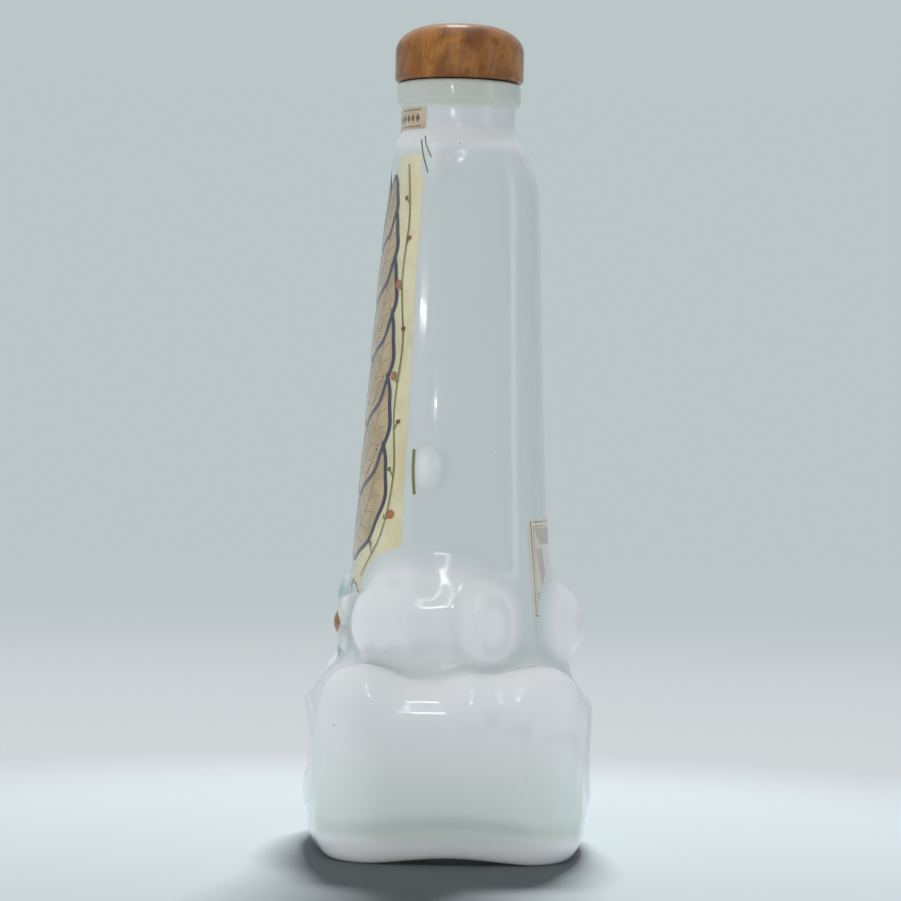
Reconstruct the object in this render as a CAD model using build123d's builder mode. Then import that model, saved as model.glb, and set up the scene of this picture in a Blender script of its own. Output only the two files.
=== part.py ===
from build123d import *
from math import atan2, cos, degrees, radians, sin, sqrt
import os

# A tall figural decanter in glazed porcelain with a wooden stopper.
# Millimetres, +Z up. The front, with its colour panel, faces -Y. The origin is on the
# floor, under the axis of the neck.

# Overall
height = 280.0              # floor to the top of the stopper
wall = 5.0                  # fired porcelain
overrun = 2.0               # how far a cut runs past what it cuts

# Tall body: half width, and reach to the front and to the back, at five heights
crown_drop = 39.0           # from the top of the stopper down to where the neck begins
crown_half_width = 22.5
crown_front = 21.2
crown_back = 21.4
brow_drop = 45.0
brow_half_width = 27.0
brow_front = 21.7
brow_back = 24.0
shoulder_drop = 56.0        # the back leans in above this
shoulder_half_width = 28.0
shoulder_front = 22.6
shoulder_back = 28.2
waist_share = 0.587         # of the way from the root to the shoulder
waist_half_width = 35.0
waist_front = 29.4
waist_back = 31.2
root_height = 45.0          # hidden in the base tier
root_half_width = 43.8
root_front = 35.8
root_back = 35.4
front_bow_share = 0.41      # bow of the front face over its half width
back_bow_share = 0.25
side_bow = 1.2
front_corner = 6.0
back_corner = 8.0

# Base tier
tier_height = 61.0
tier_half_width = 60.0
tier_front = 48.2
tier_back = 48.2
tier_bow_share = 0.13
tier_side_bow = 2.0
tier_corner = 18.0
tier_top_round = 16.0
tier_foot_round = 7.0
foot_ring = 5.0             # width of the ring that the bottle stands on
foot_recess = 3.0
foot_arch_rise = 2.0        # the sides of the foot lift off the floor between the corners
foot_arch_half_length = 31.0

# Oval cartouches on the front and the back of the base tier
cartouche_centre_height = 33.0
front_cartouche_half_width = 47.0
back_cartouche_half_width = 37.0
cartouche_half_height = 17.0
cartouche_rim = 4.0
cartouche_proud = 1.4

# On each side a gourd that lies front to back, with an oval fruit against each end
gourd_radius = 18.3
gourd_half_length = 25.5
gourd_end_round = 17.0
gourd_out = 31.0
gourd_forward = 4.5
gourd_centre_height = 78.3
fruit_radius = 6.0
fruit_half_height = 10.0
fruit_centre_height = 77.5
front_fruit_outset = 7.5    # from the gourd's axis
front_fruit_lead = 22.5     # from the gourd's middle
back_fruit_outset = 12.5
back_fruit_lag = 16.5

# Round berries on the shoulder of the base tier, on each side
berry_radius = 7.0
berry_sink = 8.5            # a berry's centre lies this far inside the tier's side
berry_drop = 7.0            # and this far below its top
berry_forward = 31.5
berry_back = 29.5
berry_mid_forward = -9.5
berry_mid_back = 18.5

# Tall oval lobe on each back corner of the base tier
lobe_radius = 7.0
lobe_half_height = 16.5
lobe_sink = 7.5             # the lobe's axis lies this far inside the tier's side
lobe_back = 33.5
lobe_centre_height = 36.0

# Melon at the foot of the back face
melon_radius = 15.8
melon_half_width = 25.0
melon_back = 31.0
melon_height = 76.0

# Painted rosette at the foot of the front panel: round petals about a domed heart
rosette_height = 75.5
rosette_forward = 33.5
heart_radius = 7.0
heart_forward = 32.5
petals = 6
petal_radius = 4.6
petal_half_length = 7.6
petal_out = 9.2

# Curled tabs on the sides, against the edges of the panel
curl_radius = 4.2
curl_half_height = 8.4
curl_sink = 2.2             # the curl's axis lies this far inside the side face
top_curl_forward = 8.0
top_curl_drop = 3.5         # below the brow
mid_curl_forward = 9.5
mid_curl_drop = 21.3        # below the waist

# Neck and lip
neck_radius = 19.45
neck_root_round = 1.0
lip_radius = 21.35
lip_height = 8.4
lip_top_round = 1.5
lip_foot_round = 1.6

# Stopper
cap_height = 19.5
cap_radius = 22.0
cap_flat_radius = 8.3
cap_crown_height = 9.0
cap_foot_round = 1.5
cap_seat_gap = 0.3          # between the cap and the lip
cork_radius = 13.0
cork_in_neck = 20.0
cork_in_cap = 6.0
cork_chamfer = 1.0
cork_clearance = 0.05       # on the radius, in the neck and in the cap

# Colour panel, plaque and label
skin = 0.25                 # thickness of a fired transfer
skin_clearance = 0.05       # between a transfer and the bowed face under it
panel_top_margin = 1.0      # below the brow
panel_margin = 1.8          # from the panel's side edge to the body's edge
panel_foot_margin = 0.9     # from its lower edge at the sides to the gourds under it
panel_point_drop = 11.0     # how far the torn points hang below that edge
panel_point_share = 0.47    # where a point lies, of the panel's half width
panel_notch_drop = 7.0
panel_notch_share = 0.28
plaque_half_width = 34.5
plaque_foot = 79.0
plaque_top = 113.0
plaque_corner = 3.0
label_thickness = 0.2
label_arc = 110.0           # degrees round the front of the neck
label_margin = 0.6          # clear of the lip ring and of the neck's root

quarter_turn = 90.0         # degrees
crown_height = height - crown_drop
brow_height = height - brow_drop
shoulder_height = height - shoulder_drop
waist_height = root_height + waist_share * (shoulder_height - root_height)
top_curl_height = brow_height - top_curl_drop
mid_curl_height = waist_height - mid_curl_drop
berry_out = tier_half_width - berry_sink
berry_height = tier_height - berry_drop
lobe_out = tier_half_width - lobe_sink
front_fruit_out = gourd_out + front_fruit_outset
front_fruit_forward = gourd_forward + front_fruit_lead
back_fruit_out = gourd_out + back_fruit_outset
back_fruit_back = back_fruit_lag - gourd_forward
panel_top = brow_height - panel_top_margin
panel_foot = gourd_centre_height + gourd_radius + panel_foot_margin
cap_foot = height - cap_height
lip_top = cap_foot - cap_seat_gap
lip_foot = lip_top - lip_height
bore_radius = cork_radius + cork_clearance
cavity_top = brow_height - wall
cavity_floor = foot_recess + wall
reach = tier_half_width + tier_side_bow + overrun
across = (-1, 0, 0)         # from the near side inwards
ahead = (0, -1, 0)          # from the back to the front
behind = (0, 1, 0)          # from the front to the back
upward = (0, 0, 1)

stations = (
    (root_height, root_half_width, root_front, root_back),
    (waist_height, waist_half_width, waist_front, waist_back),
    (shoulder_height, shoulder_half_width, shoulder_front, shoulder_back),
    (brow_height, brow_half_width, brow_front, brow_back),
    (crown_height, crown_half_width, crown_front, crown_back),
)


def body_at(level):
    """Half width, front and back of the tall body at a level."""
    for below, above in zip(stations, stations[1:]):
        if level <= above[0]:
            share = (level - below[0]) / (above[0] - below[0])
            return [low + (high - low) * share for low, high in zip(below[1:], above[1:])]
    return stations[-1][1:]


def bowed_plan(level, half_width, front, back, bows, corners):
    """A plan with bowed front, back and sides and rounded corners."""
    front_edge = bows[0] - front
    back_edge = back - bows[1]
    middle = (front_edge + back_edge) / 2
    with BuildSketch(Plane.XY.offset(level)) as plan:
        with BuildLine():
            near_front = (half_width, front_edge)
            near_back = (half_width, back_edge)
            far_front = (-half_width, front_edge)
            far_back = (-half_width, back_edge)
            ThreePointArc(far_front, (0, -front), near_front)
            ThreePointArc(near_front, (half_width + bows[2], middle), near_back)
            ThreePointArc(near_back, (0, back), far_back)
            ThreePointArc(far_back, (-half_width - bows[2], middle), far_front)
        make_face()
        fillet(plan.vertices().group_by(Axis.Y)[0], corners[0])
        fillet(plan.vertices().group_by(Axis.Y)[-1], corners[1])
    return plan.sketch


def body_plan(level, grow=0):
    """The tall body's plan at a level, grown outwards or shrunk."""
    half_width, front, back = body_at(level)
    bows = (front_bow_share * half_width, back_bow_share * half_width, side_bow)
    corners = (front_corner, back_corner)
    return bowed_plan(level, half_width + grow, front + grow, back + grow, bows, corners)


def tier_plan(level, grow=0):
    """The base tier's plan at a level, grown outwards or shrunk."""
    bow = tier_bow_share * tier_half_width
    bows = (bow, bow, tier_side_bow)
    corners = (tier_corner, tier_corner)
    return bowed_plan(level, tier_half_width + grow, tier_front + grow, tier_back + grow, bows, corners)


def body_form(top, grow=0):
    """The tall body from its root to a level, grown outwards or shrunk."""
    levels = [level for level, *_ in stations[3:] if level < top]
    with BuildPart() as form:
        loft(sections=[body_plan(station[0], grow) for station in stations[:3]])
        loft(sections=[body_plan(level, grow) for level in (shoulder_height, *levels, top)], ruled=True)
    return form.part


def egg(centre, radius, half_length, direction, inward):
    """An egg shape: a half oval of three arcs, on its inward side, turned about its long axis."""
    diagonal = sqrt(half_length**2 + radius**2)
    spare = half_length - radius
    end_radius = (diagonal - spare) * diagonal / (2 * half_length)
    flank_radius = (diagonal + spare) * diagonal / (2 * radius)
    turn = degrees(atan2(flank_radius - radius, half_length - end_radius))
    normal = Vector(*direction).cross(Vector(*inward))
    with BuildPart() as form:
        with BuildSketch(Plane(origin=centre, x_dir=direction, z_dir=normal)):
            with BuildLine():
                first = JernArc((-half_length, 0), (0, 1), end_radius, -turn)
                flank = JernArc(first @ 1, first % 1, flank_radius, 2 * turn - 180)
                last = JernArc(flank @ 1, flank % 1, end_radius, -turn)
                Line(last @ 1, first @ 0)
            make_face()
        revolve(axis=Axis(centre, direction))
    return form.part


def bolster(centre, radius, half_length, end_round):
    """A round bolster that lies front to back, with rounded ends."""
    with BuildPart() as form:
        with BuildSketch(Plane.XZ.offset(-centre[1] - half_length)):
            with Locations((centre[0], centre[2])):
                Circle(radius)
        extrude(amount=2 * half_length)
        fillet(form.edges(), end_round)
    return form.part


def cartouche(half_width, depth):
    """A raised oval rim that follows the bow of the tier, on its front or its back."""
    with BuildPart() as form:
        extrude(tier_plan(0, cartouche_proud), amount=tier_height)
        with BuildSketch(Plane.XZ):
            with Locations((0, cartouche_centre_height)):
                Ellipse(half_width, cartouche_half_height)
                inner_half_height = cartouche_half_height - cartouche_rim
                Ellipse(half_width - cartouche_rim, inner_half_height, mode=Mode.SUBTRACT)
        extrude(amount=depth, mode=Mode.INTERSECT)
    return form.part


def ball(centre, radius):
    """A round berry or fruit."""
    with BuildPart(Plane(origin=centre)) as form:
        Sphere(radius)
    return form.part


# The base tier: a bowed block, rounded over at the top and under at the foot
with BuildPart() as tier:
    extrude(tier_plan(0), amount=tier_height)
    fillet(tier.faces().sort_by(Axis.Z)[-1].edges(), tier_top_round)
    fillet(tier.faces().sort_by(Axis.Z)[0].edges(), tier_foot_round)

# The ring round the lip
with BuildPart() as lip:
    with BuildSketch(Plane.XY.offset(lip_foot)):
        Circle(lip_radius)
    extrude(amount=lip_height)
    fillet(lip.faces().sort_by(Axis.Z)[-1].edges(), lip_top_round)
    fillet(lip.faces().sort_by(Axis.Z)[0].edges(), lip_foot_round)

# Relief of the near side, mirrored to the far side
with BuildPart() as side_relief:
    gourd = (gourd_out, -gourd_forward, gourd_centre_height)
    add(bolster(gourd, gourd_radius, gourd_half_length, gourd_end_round))
    front_fruit = (front_fruit_out, -front_fruit_forward, fruit_centre_height)
    add(egg(front_fruit, fruit_radius, fruit_half_height, upward, across))
    back_fruit = (back_fruit_out, back_fruit_back, fruit_centre_height)
    add(egg(back_fruit, fruit_radius, fruit_half_height, upward, across))
    for place in (-berry_forward, -berry_mid_forward, berry_mid_back, berry_back):
        add(ball((berry_out, place, berry_height), berry_radius))
    for forward, level in ((top_curl_forward, top_curl_height), (mid_curl_forward, mid_curl_height)):
        out = body_at(level)[0] + side_bow - curl_sink
        add(egg((out, -forward, level), curl_radius, curl_half_height, upward, across))
    mirror(about=Plane.YZ)

# Relief of the front and of the back
with BuildPart() as rosette:
    for number in range(petals):
        turn = radians(360 / petals * number)
        direction = (sin(turn), 0, cos(turn))
        centre = (petal_out * direction[0], -rosette_forward, rosette_height + petal_out * direction[2])
        add(egg(centre, petal_radius, petal_half_length, direction, behind))
    add(ball((0, -heart_forward, rosette_height), heart_radius))
with BuildPart() as back_lobes:
    add(egg((lobe_out, lobe_back, lobe_centre_height), lobe_radius, lobe_half_height, upward, across))
    mirror(about=Plane.YZ)
with BuildPart() as melon:
    add(egg((0, melon_back, melon_height), melon_radius, melon_half_width, across, ahead))

# The space inside, which follows the outside at the wall's distance
with BuildPart() as base_space:
    extrude(tier_plan(cavity_floor, -wall), amount=tier_height - wall - cavity_floor)
    fillet(base_space.faces().sort_by(Axis.Z)[-1].edges(), tier_top_round - wall)
with BuildPart() as cavity:
    add(base_space.part)
    add(body_form(cavity_top, -wall))
    add(bolster(gourd, gourd_radius - wall, gourd_half_length - wall, gourd_end_round - wall))
    mirror(about=Plane.YZ)
    add(egg((0, melon_back, melon_height), melon_radius - wall, melon_half_width - wall, across, ahead))
    with BuildSketch(Plane.XY.offset(cavity_top - overrun)):
        Circle(bore_radius)
    extrude(amount=lip_top - cavity_top + 2 * overrun)

with BuildPart() as bottle:
    add(tier.part)
    add(body_form(crown_height))
    with BuildSketch(Plane.XY.offset(cavity_top)):
        Circle(neck_radius)
    extrude(amount=lip_top - cavity_top)
    ledge = bottle.edges().filter_by(GeomType.CIRCLE).filter_by_position(Axis.Z, crown_height, crown_height)
    fillet(ledge.sort_by(SortBy.LENGTH)[-1], neck_root_round)
    add(lip.part)
    add(cartouche(front_cartouche_half_width, reach))
    add(cartouche(back_cartouche_half_width, -reach))
    add(back_lobes.part)
    add(side_relief.part)
    add(rosette.part)
    add(melon.part)
    add(cavity.part, mode=Mode.SUBTRACT)
    extrude(
        tier_plan(-overrun, -tier_foot_round - foot_ring),
        amount=overrun + foot_recess,
        mode=Mode.SUBTRACT,
    )
    arch_radius = (foot_arch_half_length**2 + foot_arch_rise**2) / (2 * foot_arch_rise)
    with BuildSketch(Plane.YZ):
        with Locations((0, foot_arch_rise - arch_radius)):
            Circle(arch_radius)
    extrude(amount=reach, both=True, mode=Mode.SUBTRACT)

# The transfers: thin skins on the bowed faces of the body
with BuildPart() as front_transfer:
    add(body_form(brow_height, skin_clearance + skin))
    top_half = body_at(panel_top)[0] - panel_margin
    shoulder_half = shoulder_half_width - panel_margin
    waist_half = waist_half_width - panel_margin
    foot_half = body_at(panel_foot)[0] - panel_margin
    torn_edge = (
        (foot_half, panel_foot),
        (panel_point_share * foot_half, panel_foot - panel_point_drop),
        (panel_notch_share * foot_half, panel_foot - panel_notch_drop),
        (0, panel_foot - panel_point_drop),
    )
    side_edge = (
        (0, panel_top),
        (top_half, panel_top),
        (shoulder_half, shoulder_height),
        (waist_half, waist_height),
    )
    with BuildSketch(Plane.XZ):
        with BuildLine():
            Polyline(*side_edge, *torn_edge, close=True)
        make_face()
        mirror(about=Plane.YZ)
    extrude(amount=reach, mode=Mode.INTERSECT)
    add(body_form(crown_height, skin_clearance), mode=Mode.SUBTRACT)
    add(rosette.part, mode=Mode.SUBTRACT)
    add(side_relief.part, mode=Mode.SUBTRACT)
with BuildPart() as back_transfer:
    add(body_form(brow_height, skin_clearance + skin))
    with BuildSketch(Plane.XZ):
        with Locations((0, (plaque_foot + plaque_top) / 2)):
            RectangleRounded(2 * plaque_half_width, plaque_top - plaque_foot, plaque_corner)
    extrude(amount=-reach, mode=Mode.INTERSECT)
    add(body_form(crown_height, skin_clearance), mode=Mode.SUBTRACT)
    add(melon.part, mode=Mode.SUBTRACT)

# The paper label, wrapped round the front of the neck
with BuildPart() as neck_label:
    label_foot = crown_height + neck_root_round + label_margin
    label_top = lip_foot - label_margin
    first = Vector(1, 0, 0).rotate(Axis.Z, -quarter_turn - label_arc / 2)
    with BuildSketch(Plane(origin=(0, 0, 0), x_dir=first, z_dir=first.cross(Vector(0, 0, 1)))):
        with Locations((neck_radius, label_foot)):
            Rectangle(label_thickness, label_top - label_foot, align=(Align.MIN, Align.MIN))
    revolve(axis=Axis.Z, revolution_arc=label_arc)

# The stopper: a turned cap, bored for the cork that is glued into it
with BuildPart() as stopper_cap:
    with BuildSketch(Plane.XZ) as profile:
        with BuildLine():
            Line((cap_radius, cap_foot), (cap_radius, height - cap_crown_height))
            EllipticalCenterArc(
                (cap_flat_radius, height - cap_crown_height),
                cap_radius - cap_flat_radius,
                cap_crown_height,
                start_angle=0,
                arc_size=quarter_turn,
            )
            Polyline((cap_flat_radius, height), (0, height), (0, cap_foot), (cap_radius, cap_foot))
        make_face()
    revolve(axis=Axis.Z)
    fillet(stopper_cap.edges().filter_by(GeomType.CIRCLE).sort_by(Axis.Z)[0], cap_foot_round)
    with BuildSketch(Plane.XY.offset(cap_foot - overrun)):
        Circle(bore_radius)
    extrude(amount=overrun + cork_in_cap, mode=Mode.SUBTRACT)
with BuildPart() as stopper_cork:
    with BuildSketch(Plane.XY.offset(lip_top - cork_in_neck)):
        Circle(cork_radius)
    extrude(amount=cork_in_neck + cap_seat_gap + cork_in_cap)
    chamfer(stopper_cork.faces().sort_by(Axis.Z)[0].edges(), cork_chamfer)

os.makedirs("parts", exist_ok=True)
pieces = {
    "bottle": bottle,
    "front_transfer": front_transfer,
    "back_transfer": back_transfer,
    "neck_label": neck_label,
    "stopper_cap": stopper_cap,
    "stopper_cork": stopper_cork,
}
for name, piece in pieces.items():
    piece.part.label = name
    export_step(piece.part, f"parts/{name}.step")
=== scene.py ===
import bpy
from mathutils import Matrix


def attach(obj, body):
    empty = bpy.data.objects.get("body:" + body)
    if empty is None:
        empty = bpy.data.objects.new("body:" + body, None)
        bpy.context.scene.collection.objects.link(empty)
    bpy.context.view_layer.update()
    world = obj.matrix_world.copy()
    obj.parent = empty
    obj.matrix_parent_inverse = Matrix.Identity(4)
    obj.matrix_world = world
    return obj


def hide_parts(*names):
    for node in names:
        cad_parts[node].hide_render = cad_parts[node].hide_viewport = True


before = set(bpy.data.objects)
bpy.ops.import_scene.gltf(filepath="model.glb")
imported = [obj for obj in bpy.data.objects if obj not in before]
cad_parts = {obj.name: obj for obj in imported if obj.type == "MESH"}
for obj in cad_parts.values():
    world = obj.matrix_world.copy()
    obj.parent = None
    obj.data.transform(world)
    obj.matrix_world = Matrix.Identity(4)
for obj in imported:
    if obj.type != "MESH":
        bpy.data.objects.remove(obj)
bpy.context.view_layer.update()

import math
import bpy
import numpy as np
from mathutils import Quaternion, Vector

mm = 0.001
scene = bpy.context.scene
scene.view_settings.view_transform = "Standard"


# small helpers: colours, meshes, shader nodes

def tone(red, green, blue):  # a colour as picked from a screen, 0 to 255, for a shader socket
    steps = [value / 255 for value in (red, green, blue)]
    return [s / 12.92 if s <= 0.04045 else ((s + 0.055) / 1.055) ** 2.4 for s in steps] + [1]


def addObject(name, data, place=(0, 0, 0)):
    thing = bpy.data.objects.new(name, data)
    thing.location = place
    scene.collection.objects.link(thing)
    return thing


def makePiece(name, points, faces, materials):  # points in millimetres
    mesh = bpy.data.meshes.new(name)
    mesh.from_pydata((np.asarray(points, float) * mm).tolist(), [], [list(map(int, f)) for f in faces])
    mesh.polygons.foreach_set("use_smooth", [True] * len(mesh.polygons))
    for material in materials:
        mesh.materials.append(material)
    mesh.update()
    return addObject(name, mesh)


def gridFaces(rows, columns, first=0, closed=False):  # squares between the points of a grid
    faces = []
    for row in range(rows - 1):
        for column in range(columns if closed else columns - 1):
            a = first + row * columns + column
            b = first + row * columns + (column + 1) % columns
            faces.append((a, b, b + columns, a + columns))
    return faces


def setSockets(node, values):
    for socket, value in values.items():
        node.inputs[socket].default_value = value


class Finish:  # a material, and the nodes that make its colour and relief
    def __init__(self, name):
        self.material = bpy.data.materials.new(name)
        self.material.use_nodes = True
        self.tree = self.material.node_tree
        self.shader = self.tree.nodes["Principled BSDF"]
        self.place = self.add("NewGeometry").outputs["Position"]

    def add(self, kind, settings=None, **values):  # n0, n1 and so on are sockets by number, others by name
        node = self.tree.nodes.new("ShaderNode" + kind)
        for key, value in (settings or {}).items():
            setattr(node, key, value)
        for key, value in values.items():
            numbered = key[0] == "n" and key[1:].isdigit()
            socket = node.inputs[int(key[1:]) if numbered else key]
            if isinstance(value, bpy.types.NodeSocket):
                self.tree.links.new(value, socket)
            else:
                socket.default_value = value
        return node

    def link(self, value, socket):
        self.tree.links.new(value, self.shader.inputs[socket])

    def math(self, operation, first, second=0.0):
        return self.add("Math", {"operation": operation}, n0=first, n1=second).outputs[0]

    def times(self, first, second):
        return self.math("MULTIPLY", first, second)

    def plus(self, first, second):
        return self.math("ADD", first, second)

    def tint(self, colour, share, shade, strength=1.0):  # lays a shade over a colour by a share
        share = share if strength == 1 else self.times(share, strength)
        return self.add("Mix", {"data_type": "RGBA"}, n0=share, n6=colour, n7=shade).outputs[2]

    def noise(self, place, scale, detail=3.0, rough=0.5, distortion=0.0):
        form = {"Scale": scale, "Detail": detail, "Roughness": rough, "Distortion": distortion}
        return self.add("TexNoise", Vector=place, **form).outputs["Fac"]

    def ramp(self, share, low, high):  # 0 below low, 1 above high, soft between
        soft, ends = {"interpolation_type": "SMOOTHSTEP"}, {"From Min": low, "From Max": high}
        return self.add("MapRange", soft, Value=share, **ends).outputs["Result"]

    def spots(self, place, scale, edge, core):  # 0 beyond edge from their middles, 1 within core
        field = self.add("TexVoronoi", {"feature": "F1"}, Vector=place, Scale=scale)
        return self.ramp(field.outputs["Distance"], edge, core)

    def stretch(self, place, scale, turn=(0, 0, 0)):
        return self.add("Mapping", Vector=place, Scale=scale, Rotation=turn).outputs["Vector"]

    def done(self, colour, sockets, height, strength, distance):  # the last three are its relief
        self.link(colour, "Base Color")
        bump = self.add("Bump", Height=height, Strength=strength, Distance=distance)
        self.link(bump.outputs["Normal"], "Normal")
        setSockets(self.shader, sockets)
        return self.material


# the bottle's form, in millimetres: rounded unions and cuts of simple forms

bottleForm = {
    "cell": 0.85,      # size of the squares of its mesh
    "box": ((-63.5, -51.5, -1.5), (63.5, 51.5, 262.0)),
    # height, half width, reach to the front, reach to the back
    "outline": [
        (40, 43.8, 36.4, 35.8), (76, 41.2, 34.6, 34.9), (97, 39.4, 33.3, 33.7), (127, 37.0, 31.2, 32.2),
        (151, 34.9, 29.4, 31.0), (172, 32.9, 27.8, 30.2), (196, 30.6, 25.9, 29.3), (215, 28.8, 24.0, 28.6),
        (224, 28.0, 23.0, 28.2), (230, 27.5, 22.4, 26.6), (235, 26.8, 21.9, 24.4), (241, 23.4, 21.5, 21.6),
        (250, 20.0, 21.0, 20.0),
    ],
    "bodyFoot": 45.0,            # the tall body's lower end, inside the base
    "soften": 7,                 # steps of half a millimetre over which the outline's corners are eased
    "step": 0.5, "margin": 20,
    # how far the front and back bow in shares of the half width, and how round their corners are
    "bows": (0.41, 0.25), "sideBow": 1.2, "corners": (6.0, 8.0),
    "crownHeight": 241.0, "crownRound": 6.0,
    "neckRadius": 19.45, "neckRootRound": 5.5, "neckFoot": 225.0,
    "lipRadius": 21.35, "lipLow": 251.8, "lipTop": 260.2,
    "lipTopRound": 1.5, "lipFootRound": 3.0, "lipMelt": 0.8,
    "boreRadius": 13.05, "boreFoot": 236.0, "mouthRound": 1.0,
}

baseForm = {
    "halfWidth": 60.0, "reach": 48.2, "bows": (7.8, 7.8), "sideBow": 1.95, "corners": (18.0, 18.0),
    "height": 61.0, "topRound": 16.0, "footRound": 7.0, "footRise": 12.5, "bodyFillet": 10.0,
    "creaseHeight": 10.8, "creaseDepth": 0.5, "creaseWidth": 2.4,
    "archRise": 2.0, "archHalfLength": 31.0, "ring": 5.0, "recess": 3.0, "recessRound": 1.0,
}

gourd = {
    "centre": (31.0, -4.5, 78.3), "radius": 18.3, "halfLength": 25.5, "endRound": 17.0,
    "crown": 0.002, "melt": 8.0,
}

# each: centre (out, y, height), radii, how softly it melts into what carries it
fruits = [
    ((38.5, -27.0, 77.5), (6.0, 6.0, 10.0), 8.0),      # two against the gourd
    ((43.5, 12.0, 77.5), (6.0, 6.0, 10.0), 8.0),
    ((49.5, -31.0, 54.5), (9.0, 10.5, 9.0), 9.0),      # berries along the shoulder
    ((51.5, 7.0, 53.0), (6.5, 7.5, 7.5), 7.0),
    ((51.5, 18.5, 53.0), (6.5, 7.0, 7.5), 7.0),
    ((49.5, 30.5, 54.5), (9.0, 10.5, 9.0), 9.0),
    ((52.8, 33.0, 36.0), (7.0, 7.0, 16.0), 7.0),       # lobe on the back corner
    ((0.0, 31.0, 76.0), (25.0, 15.8, 15.8), 8.0),      # melon on the back
    ((25.0, -7.8, 231.0), (3.3, 2.7, 6.8), 3.0),       # curls by the panel
    ((35.2, -8.8, 128.8), (5.2, 4.2, 7.2), 2.6),
]
grooves = [(0, 1.1, 0.35), (1, 1.1, 0.5), (6, 1.2, 0.3)]      # round which fruit, how far off it, how deep
grooveWidth = 1.1

rosette = {
    "height": 75.5, "forward": 33.5, "petals": 6, "petalOut": 9.2, "petalHalf": 7.6, "petalRadius": 4.6,
    "heartForward": 32.5, "heartRadius": 7.0, "melt": 1.2,
}

ovals = [(-1, 47.0), (1, 37.0)]          # side of the base, half width of its oval rim
ovalRim = {
    "height": 33.0, "halfHeight": 17.0, "width": 6.0, "proud": 0.9, "melt": 3.0,
    "start": 10.0, "slope": 0.7,      # it lies beyond this y, and rises this steeply
}


def roundJoin(a, b, radius):  # two forms joined with a round fillet in the corner
    fillet = np.hypot(np.maximum(radius - a, 0), np.maximum(radius - b, 0))
    return np.maximum(radius, np.minimum(a, b)) - fillet


def roundCut(a, b, radius):  # what two forms share, with its edge rounded over
    edge = np.hypot(np.maximum(radius + a, 0), np.maximum(radius + b, 0))
    return np.minimum(-radius, np.maximum(a, b)) + edge


def easedOutline():
    rows = np.array(bottleForm["outline"])
    margin, reach = bottleForm["margin"], bottleForm["soften"]
    levels = np.arange(rows[0, 0] - margin, rows[-1, 0] + margin, bottleForm["step"])
    weights = np.hanning(2 * reach + 3)[1:-1]
    weights /= weights.sum()
    columns = []
    for column in (1, 2, 3):
        line = np.interp(levels, rows[:, 0], rows[:, column])
        columns.append(np.convolve(np.pad(line, reach, mode="edge"), weights, mode="valid"))
    return levels, columns


outlineLevels, outlineColumns = easedOutline()


def bowedSection(out, y, halfWidth, front, back, bows, sideBow, corners):
    middle, half = (back - front) / 2, (back + front) / 2
    section = out - halfWidth - sideBow * (1 - np.minimum(((y - middle) / half) ** 2, 1))
    for ahead, reach, bow, corner in zip((-y, y), (front, back), bows, corners):
        radius = (halfWidth**2 + bow**2) / (2 * bow)
        section = roundCut(section, np.hypot(out, ahead - reach + radius) - radius, corner)
    return section


def bodyForm(out, y, z):  # the tall body alone
    f = bottleForm
    halfWidth, front, back = [np.interp(z, outlineLevels, column) for column in outlineColumns]
    bows = [share * halfWidth for share in f["bows"]]
    section = bowedSection(out, y, halfWidth, front, back, bows, f["sideBow"], f["corners"])
    return np.maximum(roundCut(section, z - f["crownHeight"], f["crownRound"]), f["bodyFoot"] - z)


def archAt(y):  # how far the underside lifts between the corners
    share = np.clip(y / baseForm["archHalfLength"], -1, 1)
    return baseForm["archRise"] * (0.5 + 0.5 * np.cos(np.pi * share))


def baseSection(out, y, grow=0.0):
    b = baseForm
    halfWidth, reach = b["halfWidth"] + grow, b["reach"] + grow
    return bowedSection(out, y, halfWidth, reach, reach, b["bows"], b["sideBow"], b["corners"])


def eggForm(out, y, z, centre, radii):
    away = [(place - middle) / radius for place, middle, radius in zip((out, y, z), centre, radii)]
    near = np.sqrt(sum(share**2 for share in away))
    slope = np.sqrt(sum((share / radius) ** 2 for share, radius in zip(away, radii)))
    return near * (near - 1) / np.maximum(slope, 1e-6)


def touches(z, low, high):
    return z.min() <= high and z.max() >= low


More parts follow.
